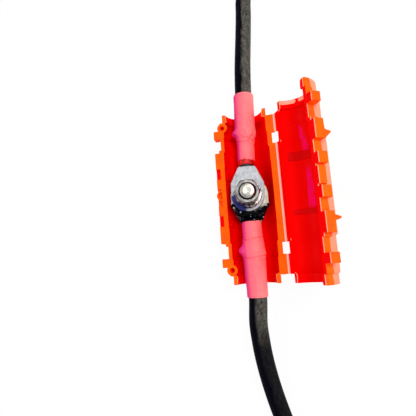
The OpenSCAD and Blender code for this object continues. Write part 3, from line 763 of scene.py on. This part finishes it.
def hexagon_rings(height, bevel_low, bevel_high):
    """Rings of a hexagon with turned ends, its corners along the lug."""
    corner, face = HEX_FLAT / cos(pi / 6), HEX_FLAT - 0.3
    hexagon = [min(HEX_FLAT / cos((tau * k / TURNED_SIDES + pi / 3) % (pi / 3) - pi / 6),
                   corner - 0.12) for k in range(TURNED_SIDES)]
    levels = [(0, face), (0.06, face + 0.12)]
    levels += [(bevel_low * t, face + (corner - face) * t) for t in (0.3, 0.6, 1)]
    levels += [(height - bevel_high * t, face + (corner - face) * t) for t in (1, 0.6, 0.3)]
    levels += [(height - 0.06, face + 0.12), (height, face)]
    return [turned_ring([min(r, cone) for r in hexagon], z) for z, cone in levels]


nut_rings = hexagon_rings(NUT_H, 0.8, 0.8) + [circle(BORE_R + wider, z) for wider, z in (
    (0.75, NUT_H), (0.65, NUT_H - 0.1), (0, NUT_H - 0.75), (0, 0.1), (0.1, 0))]
nut = make_piece("turned_nut", *skin(nut_rings, closed=True),
                 place=stack @ shift(0, 0, nut_low), sharp=24)
# The nut's bore takes the painted shade.
for face in nut.data.polygons:
    spot = unlean @ (face.center / MM)
    face.material_index = hypot(spot.x, spot.y) < BORE_R + 0.7
dress(nut, "zinc_steel", steel, thread_shade, node="hex_nut")
head = make_piece("bolt_head", *skin(hexagon_rings(HEAD_H, 0.8, 0.12)),
                  place=stack @ shift(0, 0, PALM_LOW - HEAD_H), sharp=24)
dress(head, "zinc_steel", steel)

# %% [markdown]
# A thread, a spring washer and a stranded conductor are all windings, so one node tree
# makes them: a spiral curve, a profile swept along it, and copies of it turned evenly
# round the axis. The tree has a named input for each size. Its result is baked to a
# plain mesh, and the modifier is taken off again.

# %% Winding tree
def winding_tree():
    tree = bpy.data.node_groups.new("winding", "GeometryNodeTree")
    new_socket = tree.interface.new_socket
    new_socket("Geometry", in_out="OUTPUT", socket_type="NodeSocketGeometry")
    for label in ("Radius", "Rise", "Turns", "Steps", "Profile Outward", "Profile Upward",
                  "Profile Corners", "Profile Turn", "Copies"):
        kind = "Int" if label in ("Steps", "Profile Corners", "Copies") else "Float"
        new_socket(label, in_out="INPUT", socket_type="NodeSocket" + kind)

    def node(kind, settings={}, numbered=(), **named):
        sockets = {key.replace("_", " "): value for key, value in named.items()}
        sockets.update(enumerate(numbered))
        return new_node(tree, kind, settings, sockets).outputs[0]

    given = tree.nodes.new("NodeGroupInput").outputs
    spiral = node("GeometryNodeCurveSpiral", Resolution=given["Steps"], Rotations=given["Turns"],
                  Start_Radius=given["Radius"], End_Radius=given["Radius"], Height=given["Rise"])
    upright = node("GeometryNodeSetCurveNormal", {"mode": "Z_UP"}, Curve=spiral)
    ring = node("GeometryNodeCurvePrimitiveCircle", Resolution=given["Profile Corners"], Radius=1)
    roll = node("ShaderNodeCombineXYZ", Z=given["Profile Turn"])
    turned = node("GeometryNodeTransform", Geometry=ring, Rotation=roll)
    size = node("ShaderNodeCombineXYZ", X=given["Profile Outward"], Y=given["Profile Upward"], Z=1)
    profile = node("GeometryNodeTransform", Geometry=turned, Scale=size)
    swept = node("GeometryNodeCurveToMesh", Curve=upright, Profile_Curve=profile, Fill_Caps=True)
    spots = node("GeometryNodeMeshLine", {"mode": "OFFSET"}, Count=given["Copies"],
                 Offset=(0, 0, 0))
    index = node("GeometryNodeInputIndex")
    share = node("ShaderNodeMath", {"operation": "DIVIDE"}, (index, given["Copies"]))
    turn = node("ShaderNodeMath", {"operation": "MULTIPLY"}, (share, tau))
    about = node("ShaderNodeCombineXYZ", Z=turn)
    copies = node("GeometryNodeInstanceOnPoints", Points=spots, Instance=swept, Rotation=about)
    solid = node("GeometryNodeRealizeInstances", Geometry=copies)
    new_node(tree, "NodeGroupOutput", {}, {0: solid})
    return tree


windings = winding_tree()
inputs = [s for s in windings.interface.items_tree if s.in_out == "INPUT"]


def wind(*values):
    """Points and faces of a winding about the Z axis; values for the tree's inputs in turn."""
    holder = in_scene("holder", bpy.data.meshes.new("holder"))
    modifier = holder.modifiers.new("winding", "NODES")
    modifier.node_group = windings
    for socket, value in zip(inputs, values):
        modifier[socket.identifier] = value
    mesh = bpy.data.meshes.new_from_object(
        holder.evaluated_get(bpy.context.evaluated_depsgraph_get()))
    points = [v.co.copy() for v in mesh.vertices]
    faces = [tuple(p.vertices) for p in mesh.polygons]
    bpy.data.objects.remove(holder)
    bpy.data.meshes.remove(mesh)
    return points, faces


print("winding inputs:", [s.name for s in inputs])

# %% [markdown]
# The bolt's shank is a plain core with the thread wound round it, and its end is cut to
# a short cone. Only that end shows above the nut, with a ring of thread roots round it
# that is painted dark for shade. The spring washer is nearly one full turn of square wire
# with its cut ends a little apart, and the flat washer is a turned ring.

# %% Bolt and washers
ROOT_R, THREAD_PITCH = 4.2, 1.5
WASHER_R, SPRING_R, SPRING_GAP = 9, 8.5, 0.3
thread_low = PALM_TOP + WASHER_T
thread_turns = (bolt_top - 1.6 - thread_low) / THREAD_PITCH
shank = skin([circle(r, z, 64) for r, z in (
    (ROOT_R, PALM_LOW - 0.2), (ROOT_R, bolt_top - 1.3), (4.62, bolt_top - 1.0),
    (4.62, bolt_top - 0.5), (4.5, bolt_top - 0.35), (4.1, bolt_top - 0.05), (4.0, bolt_top),
    (2.2, bolt_top - 0.05), (1.0, bolt_top - 0.16))])
points, faces = wind(ROOT_R, THREAD_PITCH * thread_turns, thread_turns, 48, 0.53, 0.7, 4, 0.0, 1)
helix = ([p + Vector((0, 0, thread_low)) for p in points], faces)
bolt = make_piece("threaded_shank", *joined(shank, helix), place=stack, sharp=30)
for face in bolt.data.polygons:
    face.material_index = (unlean @ (face.center / MM)).z < bolt_top - 1.0
dress(bolt, "zinc_steel", bolt_steel, thread_shade, node="hex_bolt")

points, faces = wind((SPRING_R + BORE_R) / 2, SPRING_GAP, 0.97, 72, (SPRING_R - BORE_R) / sqrt(2),
                     (SPRING_T - 0.32) / sqrt(2), 4, pi / 4, 1)
gap_side = Matrix.Rotation(radians(60), 4, "Z")
coil_at = Vector((0, 0, thread_low + SPRING_T / 2 - SPRING_GAP / 2))
spring = make_piece("split_washer", [gap_side @ p + coil_at for p in points], faces,
                    place=stack, sharp=30)
dress(spring, "zinc_steel", washer_steel, node="spring_washer")

flat_rings = [circle(r, z) for r, z in (
    (WASHER_R - 0.15, 0), (WASHER_R, 0.2), (WASHER_R, WASHER_T - 0.3), (WASHER_R - 0.25, WASHER_T),
    (BORE_R + 0.2, WASHER_T), (BORE_R, WASHER_T - 0.2), (BORE_R, 0.1), (BORE_R + 0.1, 0))]
flat = make_piece("flat_washer_ring", *skin(flat_rings, closed=True),
                  place=stack @ shift(0, 0, PALM_TOP), sharp=30)
dress(flat, "zinc_steel", washer_steel, node="flat_washer")
print("thread turns:", round(thread_turns, 1))

# %% [markdown]
# Inside each barrel sits the bared conductor: thirty-seven wires in three layers round
# a straight one. Each layer is the same winding with other numbers.

# %% Conductor strands
STRAND_R, STRAND_TURNS = 0.53, 0.3
strands = {}
for node, place, height, start, stop in (
        ("upper_core", upper_lug_place, UPPER_BARREL_Z, 24.3, 44.2),
        ("lower_core", lower_lug_place, LOWER_BARREL_Z, 22.8, 36.7),
        ("upper_end_core", upper_end_place, 0, 24.3, 44.2),
        ("lower_end_core", lower_end_place, 0, 24.3, 44.2)):
    layers = [wind(max(2 * STRAND_R * n, 0.001), stop - start, STRAND_TURNS, 24, STRAND_R,
                   STRAND_R, 8, 0.0, max(6 * n, 1)) for n in (1, 2, 3, 0)]
    lie = place @ shift(0, start, height) @ Matrix.Rotation(radians(-90), 4, "X")
    bundle = make_piece(node + "_strands", *joined(*layers), place=lie)
    strands[node] = dress(bundle, "bare_copper", copper, node=node)

# %% [markdown]
# A shrunk sleeve takes the shape of what is under it, and more: it swells over the
# barrel's flared mouth, gathers in creases beside it, and bulges where something sits
# beneath. One function gives its radius at any distance from the bolt and any turn
# round the axis. It adds the plain swelling, soft bumps and creases, each placed by a
# distance and a turn, and a little unevenness.

# %% Sleeve shape
OVER_BARREL, OVER_FLARE, OVER_CABLE = 5.26, 6.68, 5.76     # radii of the inner skin
FLARE_LONG, RING_STEP, SLEEVE_SIDES = 5, 0.35, 112
MM_A_RADIAN = 6.6                        # round a sleeve of middling radius


def noise_at(x, y, z):
    return noise.noise(Vector((x, y, z)))


def soft(t):
    t = min(max(t, 0), 1)
    return t * t * (3 - 2 * t)


def turn_gap(a, b):
    """Turns in degrees, the short way round."""
    return (a - b + 180) % 360 - 180


def bump(at, turn, long_reach, turn_reach, height):
    """A soft swelling at a distance and a turn in degrees."""
    def add(d, phi):
        away = hypot((d - at) / long_reach, turn_gap(phi, turn) / turn_reach)
        return height * soft(1 - away)
    return add


def disc(at, turn, radius, height):
    """A round swelling with a faint groove about it."""
    def add(d, phi):
        away = hypot(d - at, radians(turn_gap(phi, turn)) * MM_A_RADIAN * 1.15)
        groove = 0.16 * soft(1 - abs(away - radius - 0.2) / 0.8)
        return height * soft((radius - away) / 1.6) - groove
    return add


def crease(stops, depth, width=0.45):
    """A groove through points of distance and turn, with a low fold beside it."""
    def add(d, phi):
        best = 99
        for (d0, p0), (d1, p1) in zip(stops, stops[1:]):
            x, y = d - d0, radians(turn_gap(phi, p0)) * MM_A_RADIAN
            u, v = d1 - d0, radians(p1 - p0) * MM_A_RADIAN
            t = min(max((x * u + y * v) / (u * u + v * v), 0), 1)
            best = min(best, hypot(x - t * u, y - t * v))
        return depth * (0.55 * soft(1 - abs(best - 2.2 * width) / (1.3 * width))
                        - soft(1 - best / width))
    return add


def sleeve_piece(node, place, height, start, mouth, end, near_r, far_r, swell, extras, finish,
                 shade_turn, ragged, seed):
    """A closed tube: the outer skin there, the inner skin back."""
    def outer(d, phi):
        turn = radians(phi)
        rise = soft((d - (mouth - 9)) / 5.5) * (1 - soft((d - mouth - 0.5) / 4.5))
        base = near_r + (far_r[0] - near_r) * soft((d - mouth + 3) / 7)
        base += (far_r[1] - far_r[0]) * soft((d - mouth - 4) / (end - mouth - 4))
        wave = noise_at(d * 0.12, turn * 0.9 + seed, seed) * 0.16
        wave += noise_at(d * 0.5, sin(turn) * 2, cos(turn) * 2 + seed) * 0.07
        total = base + swell * rise + wave + sum(add(d, phi) for add in extras)
        return total - 0.28 * soft(1 - (d - start) / 0.6) - 0.22 * soft(1 - (end - d) / 0.5)

    def inner(d, _):
        if d < mouth:
            flare = max(1 + (d - mouth) / FLARE_LONG, 0)
            return OVER_BARREL + (OVER_FLARE - OVER_BARREL) * flare
        return OVER_FLARE + (OVER_CABLE - OVER_FLARE) * min((d - mouth) / 2, 1)

    rings, shaded_flank = [], []
    count = round((end - start) / RING_STEP)
    levels = [start + (end - start) * i / count for i in range(count + 1)]
    for radius_at, stretch in ((outer, levels), (inner, levels[::-4])):
        for d in stretch:
            ring = []
            for k in range(SLEEVE_SIDES):
                phi = 360 * k / SLEEVE_SIDES
                c, s = cos(radians(phi)), sin(radians(phi))
                torn = ragged * (noise_at(c * 2.2, s * 2.2, seed + 5) + 0.3)
                along = d - torn * soft(1 - (d - start) / 5)
                r = radius_at(d, phi)
                ring.append(Vector((r * c, along, height + r * s)))
                shaded_flank.append(0.5 + 0.5 * cos(radians(turn_gap(phi, shade_turn))))
            rings.append(ring)
    tube = make_piece(node + "_shrunk", *skin(rings, closed=True), place=place, sharp=50)
    mark_points(tube, "shaded_flank", shaded_flank)
    return dress(tube, "coral_shrink", finish, node=node)


print("sleeve skins:", SLEEVE_SIDES, "points round, one ring every", RING_STEP, "mm")

# %% [markdown]
# The four sleeves. The two beside the bolt have their own folds; the two on the far
# lugs shrank evenly. A liner of hot glue shows in front of the upper one.

# %% Sleeves
sleeves = {
    "upper_sleeve": sleeve_piece(
        "upper_sleeve", upper_lug_place, UPPER_BARREL_Z, 23.9, 44, 70.6, 5.75, (6.9, 6.85), 0.55,
        [bump(42.8, 168, 3.4, 60, 2.5), bump(42.4, 8, 4.4, 62, 1.0), disc(42.2, 64, 3.7, 1.0),
         crease([(39.4, 112), (38.6, 84), (37.6, 50), (36.6, 10)], 0.6),
         crease([(37.6, 182), (36.3, 130), (35.9, 96), (36.2, 60)], 0.5),
         crease([(44.5, 150), (40.6, 122), (39.6, 112)], 0.24)],
        coral, 180, ragged=0.9, seed=1),
    "lower_sleeve": sleeve_piece(
        "lower_sleeve", lower_lug_place, LOWER_BARREL_Z, 18.0, 36.5, 64.7, 6.25, (6.9, 6.5), 0.85,
        [bump(35.6, 4, 4.2, 56, 2.2), bump(35, 180, 6, 60, -0.2), bump(33.5, 110, 4, 60, 0.35),
         crease([(29.2, 20), (29.6, 60), (28.6, 100), (28.4, 150), (27.8, 185)], 0.5),
         crease([(40.2, 20), (41.0, 60), (40.6, 100), (39.8, 150), (39.2, 190)], 0.46),
         crease([(37.6, 70), (38.0, 110), (37.4, 150)], 0.16), bump(43.6, 118, 2.2, 18, 0.15)],
        coral, 0, ragged=0.35, seed=2)}
for node, place, seed in (("upper_end_sleeve", upper_end_place, 3),
                          ("lower_end_sleeve", lower_end_place, 4)):
    sleeves[node] = sleeve_piece(
        node, place, 0, 25, 44, 65, 5.8, (6.65, 6.5), 0.9,
        [bump(42, 70 + 40 * seed, 4, 60, 0.3), crease([(37.4, 40), (37.0, 90), (37.6, 150)], 0.2),
         crease([(47.4, 200), (47.8, 260), (47.2, 320)], 0.18)],
        coral_plain, 200, ragged=0.3, seed=seed)

# %% [markdown]
# In front of the upper sleeve the hot glue of its liner shows as a deep red collar,
# pressed out round the barrel when the sleeve shrank. Its front edge lies a little
# further forward at the sides than on top.

# %% Liner collar
COLLAR_TOP, COLLAR_BACK, COLLAR_LEAN = 20.7, 26.5, 1.1     # distances from the bolt
COLLAR_LIP, COLLAR_OUT, COLLAR_IN = 5.3, 5.58, 5.25        # radii
COLLAR_SIDES = 72


def collar_point(phi, share, radius, uneven):
    """A point at a share of the way from the collar's wavy front to its back."""
    c, s = cos(phi), sin(phi)
    front = COLLAR_TOP - COLLAR_LEAN * (1 - s) + 0.35 * noise_at(2 * c, 2 * s, 7)
    d = front + (COLLAR_BACK - front) * share
    r = radius + uneven * noise_at(3 * c, 3 * s, d)
    return Vector((r * c, d, UPPER_BARREL_Z + r * s))


collar_walls = [(0, COLLAR_LIP, 0.1)]
collar_walls += [(share, COLLAR_OUT, 0.1) for share in (0.06, 0.15, 0.4, 0.7, 1)]
collar_walls += [(share, COLLAR_IN, 0) for share in (1, 0.5, 0)]
collar_rings = [[collar_point(tau * k / COLLAR_SIDES, *wall) for k in range(COLLAR_SIDES)]
                for wall in collar_walls]
collar = make_piece("upper_liner_collar", *skin(collar_rings, closed=True), place=upper_lug_place)
dress(collar, "coral_shrink", liner_red)

# %% [markdown]
# The dark skin round the lower lug's neck, which carries the painted reflection, is one
# closed skin. Its rings follow the palm's outline a little way out, and noise lifts and
# sinks their points, coarse for the folds and fine for the crackle. Under the upper ring
# it is pressed flat, so there it keeps to the palm's own height.

# %% Neck skin
SKIN_FROM, SKIN_TO, SKIN_RINGS, SKIN_SIDES = 4.6, 18.3, 62, 150
PALM_HALF, NECK_HALF, TAPER_FROM, TAPER_TO = 12.2, 7, 6.1, 16.6
PALM_MID = PALM_LOW + PALM_T / 2


def palm_half(y):
    """Half the palm's width at a distance from its hole."""
    if y < TAPER_FROM:
        return PALM_HALF
    taper = (y - TAPER_FROM) / (TAPER_TO - TAPER_FROM)
    return max(PALM_HALF + (NECK_HALF - PALM_HALF) * taper, 6.6)


def neck_skin_point(y, phi):
    """A point of the dark neck skin: on a blunt oval round the palm, lifted by noise."""
    c, v = cos(phi), sin(phi)
    side, face = copysign(1, c), copysign(1, v)
    x = (palm_half(y) + 0.1) * abs(c) ** 0.3 * side
    z = (PALM_T / 2 + 0.03) * abs(v) ** 0.3 * face
    spot = Vector((x, y, z * 2))
    rough = 0.55 * noise.noise(spot * 0.55) + 0.42 * abs(noise.noise(spot * 1.25))
    rough += 0.2 * noise.noise(spot * 2.6)
    ends = soft((y - SKIN_FROM) / 0.6) * soft((SKIN_TO + 0.3 - y) / 0.8)
    lift = ends * max(0.12 + rough, 0.02)
    x += lift * side * soft(abs(c) * 2)
    clear = soft((hypot(x + 0.9, y) - 10.95) / 0.9) if z > 0 else 1      # of the upper ring
    z += lift * 1.3 * face * soft(abs(v) * 2.2) * clear
    if z > 0:
        if clear < 0.02:
            z = min(z, PALM_T / 2 - 0.02)
        z += soft((6.0 - abs(x)) / 1.8) * max(y - 13.3, 0) * 0.97
    return Vector((x, y, PALM_MID + z))


neck_skin_rings = [[neck_skin_point(SKIN_FROM + (SKIN_TO - SKIN_FROM) * i / (SKIN_RINGS - 1),
                          tau * k / SKIN_SIDES) for k in range(SKIN_SIDES)]
              for i in range(SKIN_RINGS)]
neck_skin = make_piece("neck_reflection_skin", *skin(neck_skin_rings), place=lower_lug_place, sharp=70)
dress(neck_skin, "tinned_copper", neck_reflection_black)

# %% [markdown]
# For each cable its path, its length and the pieces that hang on it are looked up,
# and nothing more is done with them: the near sleeve, and the far lug with its strands
# and sleeve.

# %% Cords
for name in ("upper", "lower"):
    cord = cables[name]
    far = name + "_end_"
    cord["path"][0] * MM
    cord["length"] * MM
    [p * MM for p in cord["path"]]
    sleeves[name + "_sleeve"]
    shells[far + "lug"]
    strands[far + "core"]
    sleeves[far + "sleeve"]
    print(name, "cord said with its far lug")

# %% [markdown]
# The studio is a pale floor, a pale sky and soft boxes. The camera sees the floor as
# white, and so does a mirror, but the floor keeps the shadow that falls on it, because
# only part of its look is a plain glow.

# %% Studio
scene = bpy.context.scene
scene.view_settings.view_transform = "Standard"
FLOOR = 3                                # metres from its middle to its sides
floor_mesh = bpy.data.meshes.new("floor")
floor_mesh.from_pydata([(-FLOOR, -FLOOR, 0), (FLOOR, -FLOOR, 0), (FLOOR, FLOOR, 0),
                        (-FLOOR, FLOOR, 0)], [], [(0, 1, 2, 3)])
in_scene("floor", floor_mesh)


def backed(tree, lit, share, glow_kind="ShaderNodeEmission"):
    """Mixes a plain white glow into a shader where the camera or a mirror looks."""
    def maths(operation, first, second):
        return new_node(tree, "ShaderNodeMath", {"operation": operation},
                        {0: first, 1: second}).outputs[0]

    rays = new_node(tree, "ShaderNodeLightPath").outputs
    clear = maths("MAXIMUM", rays["Is Glossy Ray"], rays["Is Transmission Ray"])
    seen = maths("MAXIMUM", rays["Is Camera Ray"], clear)
    glow = new_node(tree, glow_kind, {}, {"Color": (1, 1, 1, 1)})
    return new_node(tree, "ShaderNodeMixShader", {}, {
        0: maths("MULTIPLY", seen, share), 1: lit, 2: glow.outputs[0]}).outputs[0]


paper = Finish("floor_paper", Base_Color=(0.85, 0.85, 0.85, 1), Roughness=0.9)
feed(paper.out, {0: backed(paper.tree, paper.shader.outputs[0], 0.95)})
floor_mesh.materials.append(paper.material)

world = bpy.data.worlds.new("studio")
scene.world = world
world.use_nodes = True
sky_tree = world.node_tree
sky = feed(sky_tree.nodes["Background"], {"Color": (1, 1, 1, 1), "Strength": 0.5})
feed(sky_tree.nodes["World Output"], {
    0: backed(sky_tree, sky.outputs[0], 1.0, "ShaderNodeBackground")})


def lamp(name, at, size, watts):
    """A square soft box that faces the cover."""
    data = bpy.data.lights.new(name, "AREA")
    data.size, data.energy = size, watts
    box = in_scene(name, data)
    box.location = at
    box.rotation_euler = (-Vector(at)).to_track_quat("-Z", "Y").to_euler()


lamp("key", (0.30, 0.22, 0.7), 0.3, 4.0)
lamp("side", (0.75, -0.05, 0.3), 0.5, 2.4)
lamp("fill", (-0.5, -0.1, 0.6), 0.6, 2.2)
